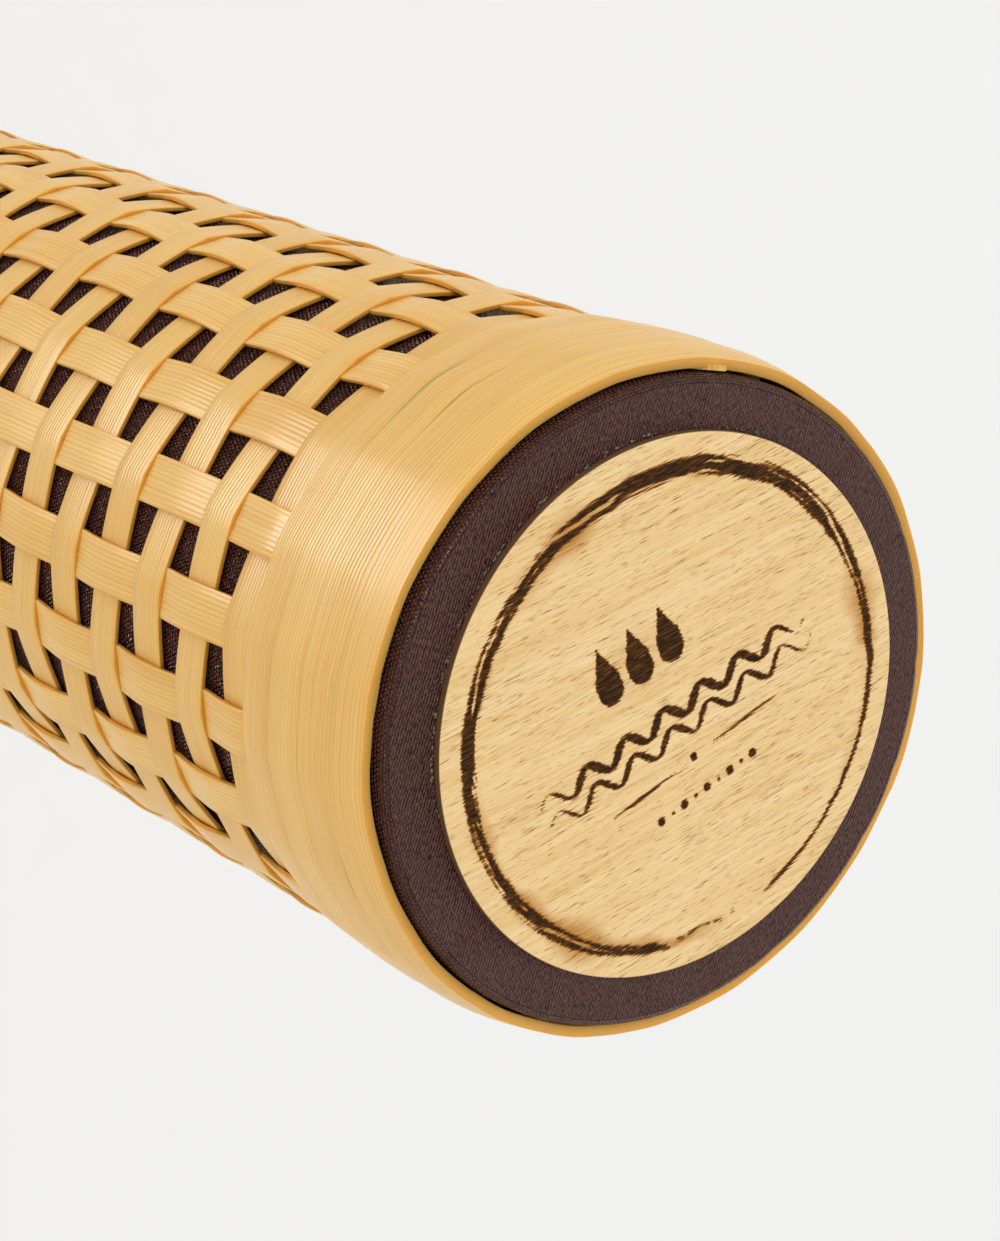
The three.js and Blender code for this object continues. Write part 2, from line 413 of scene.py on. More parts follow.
def binding_turn(number, depth, near, far, width, thickness, straightness, at_top):
    """One closed turn of strand, bent over each stake, leaned from the near to the far radius."""
    lean = math.atan2(far - near, width)
    way = 1 if at_top else -1
    outline = []
    for x, y in flat_section(width, thickness, False, binding_crown):
        outline.append((x * math.cos(lean) - y * math.sin(lean) * way,
                        y * math.cos(lean) + x * math.sin(lean) * way))
    middle_radius = (near + far) / 2 + thickness / 2
    route = []
    lifts = [random.uniform(-0.09, 0.09) * MM for _ in range(STAKES)]
    bulges = [random.uniform(-0.06, 0.06) * MM for _ in range(STAKES)]
    if number == LOOSE_TURN and at_top:
        lifts[LOOSE_STAKE] -= LOOSE_GAP
    for index in range(STAKES):
        for part in BEND_PARTS:
            away = abs(part) * stake_angle
            chord = math.cos(stake_angle / 2) / math.cos(stake_angle / 2 - away)
            shrink = 1 - straightness * (1 - chord)
            shrink -= straightness * BEND_PINCH * max(0, 1 - away / BEND_HALF_ANGLE) ** BEND_SHARPNESS
            lift = lifts[index]
            if part == 0.5:
                lift = (lifts[index] + lifts[(index + 1) % STAKES]) / 2
            angle = (index + part) * stake_angle
            radius = middle_radius * shrink + bulges[index]
            height = top - depth + lift if at_top else depth - lift
            route.append((radius * math.cos(angle), radius * math.sin(angle), height))
    return strand_along("turn_%d" % number, route, outline, 1, True)


def binding(end, at_top):
    turns = []
    for number, sizes in enumerate(BINDING_TURNS):
        turns.append(binding_turn(number, *sizes, at_top))
    bpy.ops.object.select_all(action="DESELECT")
    for turn in turns:
        turn.select_set(True)
    bpy.context.view_layer.objects.active = turns[0]
    bpy.ops.object.join()
    piece = bpy.context.object
    piece.name = "binding_%s_turns" % end
    tidy_mesh(piece, 60)
    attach(piece, "stick")
    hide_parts("border_binding_%s" % end)
    return piece


random.seed(21)
bindings = [binding("top", True), binding("bottom", False)]
print("bindings:", [len(piece.data.polygons) for piece in bindings], "faces")

# %% [markdown]
# The tube is covered in one piece of book cloth, glued on tight, with one lengthwise lap and
# both ends turned in over the tube's rounded edges. It is made as a profile line, spun round
# the axis as on a lathe, and then thickened. Where the cloth is turned in it has to crowd
# together, so small creases run inwards over the edge. A UV map called "threads" holds the
# real distance round the tube and along the cloth.

# %% Spin a profile round the axis
def spun(name, profile, steps):
    """A closed skin made by spinning a line of (radius, height) points round the Z axis."""
    data = bpy.data.curves.new(name, "CURVE")
    data.dimensions = "3D"
    spline = data.splines.new("POLY")
    spline.points.add(len(profile) - 1)
    for point, (radius, height) in zip(spline.points, profile):
        point.co = (radius, 0, height, 1)
    piece = bpy.data.objects.new(name, data)
    bpy.context.scene.collection.objects.link(piece)
    only(piece)
    bpy.ops.object.convert(target="MESH")
    piece = bpy.context.object
    edit(piece, "VERT")
    bpy.ops.mesh.select_all(action="SELECT")
    bpy.ops.mesh.spin(steps=steps, angle=2 * math.pi, center=(0, 0, 0), axis=(0, 0, 1))
    bpy.ops.object.mode_set(mode="OBJECT")
    return tidy_mesh(piece, 40)


def points_of(piece):
    places = np.zeros(len(piece.data.vertices) * 3)
    piece.data.vertices.foreach_get("co", places)
    return places.reshape(-1, 3)


# %% Cloth cover
CLOTH_OUT = 38.2 * MM
CLOTH_EDGE = 1.0 * MM
TURN_IN = 14 * MM
CLOTH_STEPS = 378
SHOULDER_STEPS = 8
SIDE_STEPS = 60
CREASES = 54
LAP_FROM = math.radians(13.5)
LAP_WIDE = math.radians(12)
LAP_RISE = 0.096 * MM
cloth_thickness = 0.4 * MM
shoulder = []
for step in range(SHOULDER_STEPS + 1):
    swung = math.radians(90 * step / SHOULDER_STEPS)
    shoulder.append((CLOTH_OUT - CLOTH_EDGE * (1 - math.cos(swung)),
                     cloth_high - CLOTH_EDGE * (1 - math.sin(swung))))
inward = [CLOTH_OUT - CLOTH_EDGE - s * MM for s in (0.8, 1.6, 2.4, 3.2, 4, 5, 7, 9, 11)]
inward.append(CLOTH_OUT - TURN_IN)
upper = shoulder + [(radius, cloth_high) for radius in inward]
lower = [(radius, top - height) for radius, height in reversed(upper)]
side_low, side_high = lower[-1][1], upper[0][1]
side = [(CLOTH_OUT, side_low + (side_high - side_low) * s / SIDE_STEPS) for s in range(1, SIDE_STEPS)]
cloth = spun("book_cloth_wrap", lower + side + upper, CLOTH_STEPS)

places = points_of(cloth)
angle = np.arctan2(places[:, 1], places[:, 0])
radius = np.hypot(places[:, 0], places[:, 1])
from_end = np.minimum(places[:, 2], top - places[:, 2]) - (top - cloth_high)
turned = np.clip((CLOTH_OUT - radius) / MM, 0, TURN_IN / MM)
crowded = np.clip((CLOTH_EDGE * 1.2 - from_end) / CLOTH_EDGE, 0, 1)
crowded = crowded * np.clip(1.2 - turned / 9, 0.3, 1)
creases = np.zeros(len(places))
random.seed(5)
for end in (1, -1):
    for number in range(CREASES):
        centre = random.uniform(-math.pi, math.pi)
        wide = math.radians(random.uniform(0.9, 2.4))
        deep = random.uniform(0.03, 0.17) * MM
        off = (angle - centre + math.pi) % (2 * math.pi) - math.pi
        dip = np.exp(-(off / wide) ** 2) * deep
        creases += np.where((places[:, 2] > top / 2) == (end > 0), dip, 0)
inside_lap = (angle - LAP_FROM) % (2 * math.pi)
lap = np.clip(inside_lap / 0.012, 0, 1) * np.clip((LAP_WIDE - inside_lap) / 0.15, 0, 1)
outward = np.stack([np.cos(angle), np.sin(angle), 0 * angle], axis=1)
upward = np.stack([0 * angle, 0 * angle, np.sign(places[:, 2] - top / 2)], axis=1)
flat_part = np.clip(turned * MM / CLOTH_EDGE, 0, 1)[:, None]
normal = outward * (1 - flat_part) + upward * flat_part
moved = places + normal * (lap * LAP_RISE - creases * crowded)[:, None]
cloth.data.vertices.foreach_set("co", moved.ravel())

thread_uv = cloth.data.uv_layers.new(name="threads")
values = np.zeros((len(cloth.data.loops), 2), np.float32)
for face in cloth.data.polygons:
    centre = math.atan2(face.center.y, face.center.x)
    for corner in face.loop_indices:
        point = cloth.data.loops[corner].vertex_index
        off = (angle[point] - centre + math.pi) % (2 * math.pi) - math.pi
        along = places[point, 2] + math.copysign(CLOTH_OUT - radius[point],
                                                 places[point, 2] - top / 2)
        values[corner] = ((centre + off) * CLOTH_OUT, along)
thread_uv.data.foreach_set("uv", values.ravel())
only(cloth)
thicken = cloth.modifiers.new("thicken", "SOLIDIFY")
thicken.thickness = cloth_thickness
thicken.offset = -1
bpy.ops.object.modifier_apply(modifier="thicken")
bpy.ops.object.shade_smooth_by_angle(angle=math.radians(60))
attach(cloth, "stick")
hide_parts("cloth_cover")

# %% [markdown]
# A thin round of pale veneer closes each end. It carries a brushy burnt ring and, inside it, a
# plain burnt motif: three drops over two ripples, a dash-dot-dash line and a row of dots. The
# burning follows drawn strokes rather than a repeating pattern, so how deeply each point is
# burnt is worked out in code and kept in an attribute on a finely divided face. The same
# value sinks the burnt lines a little way into the wood.

# %% How deeply a point is burnt
GRAIN_ANGLE = math.radians(122)
RING_FROM = 41
RIPPLE_STEPS = 16


def stroke(x, y, line, widths, soft):
    """1 inside a line of points with a width at each, falling to 0 over the soft distance."""
    best = np.full(x.shape, 9.0)
    for (start, wide), (end, wide_end) in zip(zip(line, widths), zip(line[1:], widths[1:])):
        dx, dy = end[0] - start[0], end[1] - start[1]
        part = ((x - start[0]) * dx + (y - start[1]) * dy) / max(dx * dx + dy * dy, 1e-9)
        part = np.clip(part, 0, 1)
        away = np.hypot(x - start[0] - part * dx, y - start[1] - part * dy)
        best = np.minimum(best, away - (wide + part * (wide_end - wide)) / 2)
    return np.clip(0.5 - best / soft, 0, 1)


def ripple(start, end, height, waves, wide):
    """A wavy line from start to end, with its widths, thick on the slopes and thin at the turns."""
    line, widths = [], []
    dx, dy = end[0] - start[0], end[1] - start[1]
    length = math.hypot(dx, dy)
    for step in range(waves * RIPPLE_STEPS + 1):
        part = step / (waves * RIPPLE_STEPS)
        sway = height * math.sin(2 * math.pi * waves * part)
        line.append((start[0] + dx * part - dy / length * sway,
                     start[1] + dy * part + dx / length * sway))
        ends = min(1, 6 * part, 6 * (1 - part))
        slope = 0.55 + 0.45 * abs(math.cos(2 * math.pi * waves * part))
        widths.append(wide * max(ends, 0.15) * slope)
    return line, widths


def drop_shape(x, y, foot, direction, length, soft):
    """A drop with its round foot at this point and its tip pointing along the direction."""
    line = [(foot[0] + direction[0] * length * s, foot[1] + direction[1] * length * s)
            for s in (0, 0.25, 0.55, 0.8, 1)]
    return stroke(x, y, line, [length * 0.62, length * 0.6, length * 0.36, length * 0.16, 0.05], soft)


RING = [
    (45, 28.75, 28.8), (48, 28.55, 29.05), (66, 28.6, 29.1), (90, 28.55, 29.2), (108, 28.5, 29.35),
    (114, 28.0, 29.2), (126, 28.1, 29.3), (138, 27.7, 29.4), (150, 27.5, 29.6), (168, 27.4, 29.7),
    (180, 27.1, 29.4), (192, 27.0, 29.3), (204, 26.6, 28.9), (216, 26.4, 28.6), (234, 26.7, 28.6),
    (252, 26.8, 28.6), (270, 27.1, 28.9), (288, 27.2, 29.1), (300, 27.5, 29.2), (318, 27.8, 29.2),
    (336, 27.6, 29.45), (348, 27.9, 29.5), (360, 28.1, 29.3), (372, 28.1, 29.3), (377, 28.9, 29.2),
]
FLECKS = [
    [(24.6, 13.4), (25.0, 12.3), (25.6, 11.4), (26.2, 10.6)],
    [(24.2, 14.9), (24.4, 14.1)],
    [(22.8, 16.6), (23.1, 16.1)],
    [(26.6, 9.9), (26.9, 9.2)],
]


def along_ring(x, y):
    """Each point's distance from the middle, its angle, and the ring's two edges there."""
    radius = np.hypot(x, y)
    turn = np.degrees(np.arctan2(y, x)) % 360
    turn = np.where(turn < RING_FROM, turn + 360, turn)
    stops, inner, outer = (np.array(column, float) for column in zip(*RING))
    return radius, turn, np.interp(turn, stops, inner), np.interp(turn, stops, outer)


def ring_burn(x, y):
    """The brushy ring, in millimetres: a band that wanders and is parted by pale streaks that
    run along it. Its edge is soft here and is combed out along the grain by the material."""
    radius, turn, inner, outer = along_ring(x, y)
    sway = 0.09 * np.sin(0.43 * turn + 2 * np.sin(0.17 * turn))
    low = inner + sway
    high = outer + sway * 0.6
    within = (turn > RING[0][0]) & (turn < RING[-1][0])
    band = np.minimum(radius - low, high - radius)
    burnt = np.clip(0.5 + band / 0.55, 0, 1)
    width = high - low
    share = (radius - low) / np.maximum(width, 0.1)
    drift = 0.2 * np.sin(0.083 * turn) + 0.13 * np.sin(0.21 * turn + 1.7)
    parting = np.abs(share - 0.62 - drift)
    fine = np.sin(radius * 13 + 2.2 * np.sin(0.12 * turn) + 1.3 * np.sin(0.33 * turn + 2))
    gap = 0.5 * np.sin(0.145 * turn + 0.6) + 0.5 * np.sin(0.067 * turn + 4.1) + 0.35 * fine
    pale = np.clip((gap + 0.35) * 1.6, 0, 1) * np.clip(1.35 - parting * 7.5, 0, 1)
    pale *= np.clip((width - 0.9) * 1.6, 0, 1)
    second = np.clip(1.2 - np.abs(share - 0.2 - drift * 0.6) * 13, 0, 1)
    pale = np.maximum(pale, second * np.clip((0.2 - gap) * 1.5, 0, 1) * (width > 1.6))
    burnt = np.where(within, burnt * (1 - 0.95 * pale), 0)
    for line in FLECKS:
        burnt = np.maximum(burnt, stroke(x, y, line, [0.32] * len(line), 0.4))
    return burnt


def scorch_of(x, y):
    """Where heat has only tinted the wood: a broad soft halo by the ring and the motif."""
    radius, turn, inner, outer = along_ring(x, y)
    middle_line = (inner + outer) / 2
    reach = 1.3 + 0.7 * np.sin(0.11 * turn + 1) + 0.5 * np.sin(0.31 * turn)
    halo = np.exp(-((radius - middle_line + 0.4) / np.maximum(reach, 0.7)) ** 2)
    strength = 0.45 + 0.3 * np.sin(0.052 * turn + 2.2) + 0.2 * np.sin(0.17 * turn)
    strength = np.where(turn < 112, strength * 0.45, strength)
    hot = np.exp(-(((turn - 335) % 360 + 180) % 360 - 180) ** 2 / 900)
    spread = np.exp(-((x + 5.2) ** 2 + (y + 7.2) ** 2) / 42) * 0.25
    return np.clip(halo * np.clip(strength + 0.6 * hot, 0.1, 1) + spread, 0, 1)


def motif_burn(x, y):
    """The plain motif: drops, ripples, dashes and dots, in millimetres."""
    burnt = np.zeros(x.shape)
    for foot in ((-6.9, -2.6), (-4.0, -6.1), (-1.1, -9.6)):
        burnt = np.maximum(burnt, drop_shape(x, y, foot, (-0.77, -0.64), 5.6, 0.4))
    for start, end, wide in (((13.2, -15.2), (-12.6, 15.6), 1.15), ((15.0, -13.2), (-10.6, 17.4), 0.8)):
        line, widths = ripple(start, end, 1.15, 7, wide)
        burnt = np.maximum(burnt, stroke(x, y, line, widths, 0.4))
    for start, end in (((13.4, -4.6), (7.2, 2.6)), ((3.2, 7.0), (-3.0, 14.4))):
        middle_point = ((start[0] + end[0]) / 2, (start[1] + end[1]) / 2)
        burnt = np.maximum(burnt, stroke(x, y, [start, middle_point, end], [0.15, 0.5, 0.15], 0.35))
    burnt = np.maximum(burnt, stroke(x, y, [(5.2, 4.6), (5.25, 4.65)], [1.0, 1.0], 0.35))
    for step in range(9):
        part = step / 8
        place = (13.2 - 9.2 * part, 2.4 + 10.8 * part)
        size = 1.1 if step % 2 == 0 else 0.55
        burnt = np.maximum(burnt, stroke(x, y, [place, (place[0], place[1] + 0.01)], [size, size], 0.35))
    return burnt


# %% End discs
DISC_STEPS = 420
DISC_SHIFT = (-0.15 * MM, 0.5 * MM)
DISC_RINGS = 116
BURN_DEPTH = 0.05 * MM
disc_edge = 0.12 * MM


def end_disc(end, at_top):
    face, under = top, cloth_high + 0.02 * MM
    flat = disc_radius - disc_edge
    profile = [(flat * s / DISC_RINGS, face) for s in range(DISC_RINGS + 1)]
    profile += [(disc_radius - 0.03 * MM, face - 0.05 * MM), (disc_radius, face - disc_edge)]
    profile += [(disc_radius, under), (0, under)]
    if not at_top:
        profile = [(radius, top - height) for radius, height in profile]
    piece = spun("veneer_disc_%s" % end, profile, DISC_STEPS)
    places = points_of(piece)
    x, y = places[:, 0] / MM, places[:, 1] / MM
    if not at_top:
        x = -x
    on_face = np.abs(places[:, 2] - (top if at_top else 0)) < 0.02 * MM
    burnt = np.where(on_face, np.maximum(ring_burn(x, y), motif_burn(x, y)), 0)
    tinted = np.where(on_face, scorch_of(x, y), 0)
    places[:, 2] -= burnt * BURN_DEPTH * (1 if at_top else -1)
    places[:, :2] += DISC_SHIFT
    piece.data.vertices.foreach_set("co", places.ravel())
    for name, values in (("burn", burnt), ("scorch", tinted)):
        layer = piece.data.attributes.new(name, "FLOAT", "POINT")
        layer.data.foreach_set("value", values.astype(np.float32))
    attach(piece, "stick")
    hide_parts("end_disc_%s" % end)
    return piece


discs = [end_disc("top", True), end_disc("bottom", False)]
print("discs:", [len(piece.data.polygons) for piece in discs], "faces")

# %% [markdown]
# A little glue was squeezed out round part of each disc and dried in small cloudy beads in the
# corner between the disc's edge and the cloth. Each bead is a small ball, squashed and turned
# a little differently from the next, and all of them are joined.

# %% Dried glue
def glue_line(end, at_top, first, last, count):
    beads = []
    for number in range(count):
        turn = math.radians(first + (last - first) * (random.random() ** 0.8))
        size = random.uniform(0.07, 0.2) * MM
        out = disc_radius + random.uniform(0.02, 0.45) * MM
        height = cloth_high + size * 0.15 if at_top else top - cloth_high - size * 0.15
        bpy.ops.mesh.primitive_ico_sphere_add(subdivisions=2, radius=size)
        bead = bpy.context.object
        bead.scale = (random.uniform(0.6, 0.9), random.uniform(0.9, 2.2), 0.55)
        bead.rotation_euler = (0, 0, turn)
        bead.location = (out * math.cos(turn) + DISC_SHIFT[0], out * math.sin(turn) + DISC_SHIFT[1],
                         height)
        beads.append(bead)
    bpy.ops.object.select_all(action="DESELECT")
    for bead in beads:
        bead.select_set(True)
    bpy.context.view_layer.objects.active = beads[0]
    bpy.ops.object.join()
    piece = bpy.context.object
    piece.name = "dried_glue_%s" % end
    bpy.ops.object.transform_apply(location=True, rotation=True, scale=True)
    bpy.ops.object.shade_smooth()
    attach(piece, "stick")
    return piece


random.seed(11)
glue = [glue_line("top", True, 165, 300, 110), glue_line("bottom", False, 20, 150, 70)]
print("glue:", [len(piece.data.polygons) for piece in glue], "faces")

# %% [markdown]
# Inside, the grains are small river pebbles. Each is a ball pushed in and out by a soft noise,
# kept within the size the frame gives it, and rides on its own body, so it can fall.

# %% Pebbles
GRAINS = 8
pebbles = []
for number in range(1, GRAINS + 1):
    low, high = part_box("grain_%d" % number)
    centre, size = (low + high) / 2, (high - low) / 2
    bpy.ops.mesh.primitive_ico_sphere_add(subdivisions=4, radius=1)
    piece = bpy.context.object
    piece.name = "pebble_%d" % number
    bumps = bpy.data.textures.new("pebble_%d" % number, "CLOUDS")
    bumps.noise_scale = 1.1
    bumps.noise_depth = 1
    piece.location = (number * 3.7, 0, 0)
    bpy.ops.object.transform_apply(location=True)
    push = piece.modifiers.new("push", "DISPLACE")
    push.texture = bumps
    push.strength = 0.34
    bpy.ops.object.modifier_apply(modifier="push")
    places = points_of(piece)
    places -= (places.max(0) + places.min(0)) / 2
    places /= np.abs(places).max(0)
    places *= np.array([size.x, size.y * random.uniform(0.8, 0.95), size.z]) * 0.98
    places += np.array(centre)
    piece.data.vertices.foreach_set("co", places.ravel())
    bpy.ops.object.shade_smooth()
    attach(piece, "grain_%d" % number)
    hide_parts("grain_%d" % number)
    pebbles.append(piece)
print("pebbles:", len(pebbles))

# %% [markdown]
# Materials are node graphs. One small function adds a node, sets its options, and fills each
# input with either a number, a colour or another node's output. A colour ramp's stops are
# given to it as (position, hex) pairs.

# %% Add a node
def add(material, kind, inputs=None, stops=(), **options):
    node = material.node_tree.nodes.new("ShaderNode" + kind)
    for index, (position, hex_code) in enumerate(stops):
        elements = node.color_ramp.elements
        stop = elements[index] if index < len(elements) else elements.new(position)
        stop.position = position
        stop.color = colour(hex_code)
    for option, value in options.items():
        setattr(node, option, value)
    for name, value in (inputs or {}).items():
        if isinstance(value, bpy.types.NodeSocket):
            material.node_tree.links.new(value, node.inputs[name])
        else:
            node.inputs[name].default_value = value
    return node


def new_material(name):
    material = bpy.data.materials.new(name)
    material.use_nodes = True
    material.node_tree.nodes.clear()
    return material


def finish_material(material, shader):
    add(material, "OutputMaterial", {"Surface": shader.outputs[0]})
    return material


# %% [markdown]
# Rattan strand is split cane, planed flat and clear-coated. It is honey yellow, satin, and
# ridged along its length about every 0.6 mm where the planing knife left the fibres. Streaks
# are stretched along the strand, and some lengths are a little deeper in colour than others.
# The thin edges are painted a warmer orange, a painted glow for the light they let through.
# The UV map's U runs along the strand and V across it, both in metres. The stakes are planed
# smoother than the weaver and bindings.

# %% Rattan materials
RIDGE_SPACING = 0.6 * MM


def rattan_finish(name, ridge_depth, scatter):
    """Honey rattan strand with this depth of ridge and this share of scattered light."""
    rattan = new_material(name)
    strand_map = add(rattan, "UVMap", uv_map="strand").outputs[0]
    split = add(rattan, "SeparateXYZ", {0: strand_map})
    streak_place = add(rattan, "Mapping", {"Vector": strand_map, "Scale": (22, 1500, 1)}).outputs[0]
    streaks = add(rattan, "TexNoise", {"Vector": streak_place, "Scale": 1, "Detail": 3}).outputs["Fac"]
    length_place = add(rattan, "Mapping", {"Vector": strand_map, "Scale": (9, 60, 1)}).outputs[0]
    lengths = add(rattan, "TexNoise", {"Vector": length_place, "Scale": 1, "Detail": 2}).outputs["Fac"]
    honey = add(rattan, "ValToRGB", {"Fac": streaks},
                stops=[(0.3, "#E4AF55"), (0.5, "#EFBD66"), (0.72, "#F6CB79")]).outputs[0]
    deeper = add(rattan, "ValToRGB", {"Fac": lengths},
                 stops=[(0.38, "#E7B25C"), (0.62, "#F4C877")]).outputs[0]
    body = add(rattan, "Mix", {"Factor": 0.45, "A": honey, "B": deeper}, data_type="RGBA")
    across = add(rattan, "Math", {0: split.outputs["Y"]}, operation="ABSOLUTE").outputs[0]
    # Painted glow: the strand's edges are mixed toward a warmer orange, standing in for light let
    # through the thin edges.
    near_edge = add(rattan, "MapRange", {"Value": across, "From Min": 2.75 * MM, "From Max": 3.0 * MM})
    body_with_painted_edge_glow = add(rattan, "Mix", {"Factor": near_edge.outputs[0], "A": body.outputs["Result"],
                               "B": colour("#E6AA46")}, data_type="RGBA")
    wobble_place = add(rattan, "Mapping", {"Vector": strand_map, "Scale": (30, 260, 1)}).outputs[0]
    wobble = add(rattan, "TexNoise", {"Vector": wobble_place, "Scale": 1, "Detail": 1}).outputs["Fac"]
    ridge_count = add(rattan, "Math", {0: split.outputs["Y"], 1: 1 / RIDGE_SPACING},
                      operation="MULTIPLY")
    ridge_phase = add(rattan, "Math", {0: ridge_count.outputs[0], 1: wobble}, operation="ADD")
    ridge_angle = add(rattan, "Math", {0: ridge_phase.outputs[0], 1: 2 * math.pi},
                      operation="MULTIPLY")
    ridges = add(rattan, "Math", {0: ridge_angle.outputs[0]}, operation="SINE").outputs[0]
    # Painted shade: the grooves between the ridges are mixed toward a darker brown, standing in for the
    # shade that falls in them.
    groove_painted_shade = add(rattan, "MapRange", {"Value": ridges, "From Min": -0.1, "From Max": -1,
                                      "To Max": 0.26}).outputs[0]
    painted_grooves_colour = add(rattan, "Mix", {"Factor": groove_painted_shade, "A": body_with_painted_edge_glow.outputs["Result"],
                                  "B": colour("#B98234")}, data_type="RGBA")
    relief = add(rattan, "Math", {0: ridges, 1: 0.5, 2: streaks}, operation="MULTIPLY_ADD").outputs[0]
    bump = add(rattan, "Bump", {"Height": relief, "Strength": 0.8, "Distance": ridge_depth})
    rough = add(rattan, "MapRange", {"Value": streaks, "To Min": 0.28, "To Max": 0.38}).outputs[0]
    shader = add(rattan, "BsdfPrincipled", {
        "Base Color": painted_grooves_colour.outputs["Result"], "Roughness": rough, "IOR": 1.48,
        "Specular IOR Level": 0.27, "Normal": bump.outputs[0], "Subsurface Weight": scatter,
        "Subsurface Radius": (1.0, 0.62, 0.25), "Subsurface Scale": 0.5 * MM})
    return finish_material(rattan, shader)


weaver_rattan = rattan_finish("rattan_weaver_satin", 0.055 * MM, 0.45)
stake_rattan = rattan_finish("rattan_stake_smooth", 0.034 * MM, 0.45)
binding_rattan = rattan_finish("rattan_binding_satin", 0.055 * MM, 0.7)

# %% [markdown]
# Book cloth is a tight plain-woven cotton with a thin acrylic skin, here dark plum brown. The
# threads are about half a millimetre apart; each crossing stands up as a small round, the
# skin gathers in the pits between, and single threads catch the light. The colour is painted
# lighter on the crossings and near black in the hollows between them, as painted shade. On
# the flat ends the threads are drawn closer one way than the other. Where the cloth is pulled
# over an edge the skin is thinner and the colour redder, and darker as painted shade.

# %% Book cloth material
book_cloth = new_material("book_cloth_plum")
THREAD = 0.56 * MM
END_WARP = 0.62 * MM
END_WEFT = 0.38 * MM
cloth_place = add(book_cloth, "TexCoord").outputs["Object"]
cloth_split = add(book_cloth, "SeparateXYZ", {0: cloth_place})
flat_place = add(book_cloth, "CombineXYZ", {"X": cloth_split.outputs["X"],
                                            "Y": cloth_split.outputs["Y"]})
out_from_axis = add(book_cloth, "VectorMath", {0: flat_place.outputs[0]}, operation="LENGTH")
on_side = add(book_cloth, "MapRange", {"Value": out_from_axis.outputs["Value"],
                                       "From Min": 37.2 * MM, "From Max": 37.3 * MM}).outputs[0]
side_map = add(book_cloth, "UVMap", uv_map="threads").outputs[0]
side_turns = add(book_cloth, "Mapping", {"Vector": side_map, "Scale": (1 / THREAD, 1 / THREAD, 1)})
end_turned = add(book_cloth, "Mapping", {"Vector": flat_place.outputs[0],
                                         "Rotation": (0, 0, math.radians(4))})
end_turns = add(book_cloth, "Mapping", {"Vector": end_turned.outputs[0],
                                        "Scale": (1 / END_WARP, 1 / END_WEFT, 1)})
threads = add(book_cloth, "Mix", {"Factor": on_side, "A": end_turns.outputs[0],
                                  "B": side_turns.outputs[0]}, data_type="VECTOR").outputs["Result"]
slub_place = add(book_cloth, "Mapping", {"Vector": threads, "Scale": (0.45, 0.12, 1)}).outputs[0]
slubs = add(book_cloth, "TexNoise", {"Vector": slub_place, "Scale": 1, "Detail": 2}).outputs["Fac"]
thread_split = add(book_cloth, "SeparateXYZ", {0: threads})
row = add(book_cloth, "Math", {0: thread_split.outputs["Y"]}, operation="FLOOR").outputs[0]
offset = add(book_cloth, "Math", {0: row, 1: 0.5, 2: thread_split.outputs["X"]},
             operation="MULTIPLY_ADD").outputs[0]
rounds = []
for place in (offset, thread_split.outputs["Y"]):
    turns = add(book_cloth, "Math", {0: slubs, 1: 0.7, 2: place},
                operation="MULTIPLY_ADD").outputs[0]
    bent = add(book_cloth, "Math", {0: turns, 1: math.pi}, operation="MULTIPLY").outputs[0]
    swung = add(book_cloth, "Math", {0: bent}, operation="SINE").outputs[0]
    rounds.append(add(book_cloth, "Math", {0: swung}, operation="ABSOLUTE").outputs[0])
lowest = add(book_cloth, "MapRange", {"Value": on_side, "To Min": 0.45, "To Max": 0}).outputs[0]
softer = add(book_cloth, "MapRange", {"Value": rounds[0], "To Min": lowest}).outputs[0]
crossings = add(book_cloth, "Math", {0: softer, 1: rounds[1]}, operation="MULTIPLY").outputs[0]
pit_place = add(book_cloth, "Mapping", {"Vector": threads, "Scale": (0.62, 0.4, 1)}).outputs[0]
pit_noise = add(book_cloth, "TexNoise", {"Vector": pit_place, "Scale": 1, "Detail": 1}).outputs["Fac"]
pits = add(book_cloth, "MapRange", {"Value": pit_noise, "From Min": 0.66, "From Max": 0.74}).outputs[0]
speck_place = add(book_cloth, "Mapping", {"Vector": threads, "Scale": (1.1, 1.1, 1)}).outputs[0]
specks = add(book_cloth, "TexNoise", {"Vector": speck_place, "Scale": 1, "Detail": 2}).outputs["Fac"]
# Painted shade: the colour follows the thread crossings, lighter on top and near black in the hollows
# between them.
painted_thread_shade = add(book_cloth, "Math", {0: crossings, 1: 0.45, 2: specks}, operation="MULTIPLY_ADD").outputs[0]
plum = add(book_cloth, "ValToRGB", {"Fac": painted_thread_shade},
           stops=[(0.42, "#060101"), (0.64, "#331915"), (0.95, "#6E4840")]).outputs[0]
# Painted shade, in part: the side colour is redder than the ends, and its darker stops stand in for
# shade on the side and the turned edge.
russet_with_painted_shade = add(book_cloth, "ValToRGB", {"Fac": painted_thread_shade},
             stops=[(0.42, "#080101"), (0.66, "#30110D"), (0.95, "#6E382E")]).outputs[0]
worn_noise = add(book_cloth, "TexNoise", {"Vector": cloth_place, "Scale": 95,
                                          "Detail": 3}).outputs["Fac"]
worn = add(book_cloth, "MapRange", {"Value": worn_noise, "From Min": 0.52, "From Max": 0.78,
                                    "To Max": 0.8}).outputs[0]
ruddy = add(book_cloth, "Math", {0: on_side, 1: worn}, operation="MAXIMUM").outputs[0]
threads_colour = add(book_cloth, "Mix", {"Factor": ruddy, "A": plum, "B": russet_with_painted_shade}, data_type="RGBA")
cloth_colour = add(book_cloth, "Mix", {"Factor": pits, "A": threads_colour.outputs["Result"],
                                       "B": colour("#0C0606")}, data_type="RGBA")
proud = add(book_cloth, "Math", {0: specks, 1: 1.6, 2: crossings}, operation="MULTIPLY_ADD").outputs[0]
cloth_depth = add(book_cloth, "MapRange", {"Value": on_side, "To Min": 0.15 * MM, "To Max": 0.3 * MM})
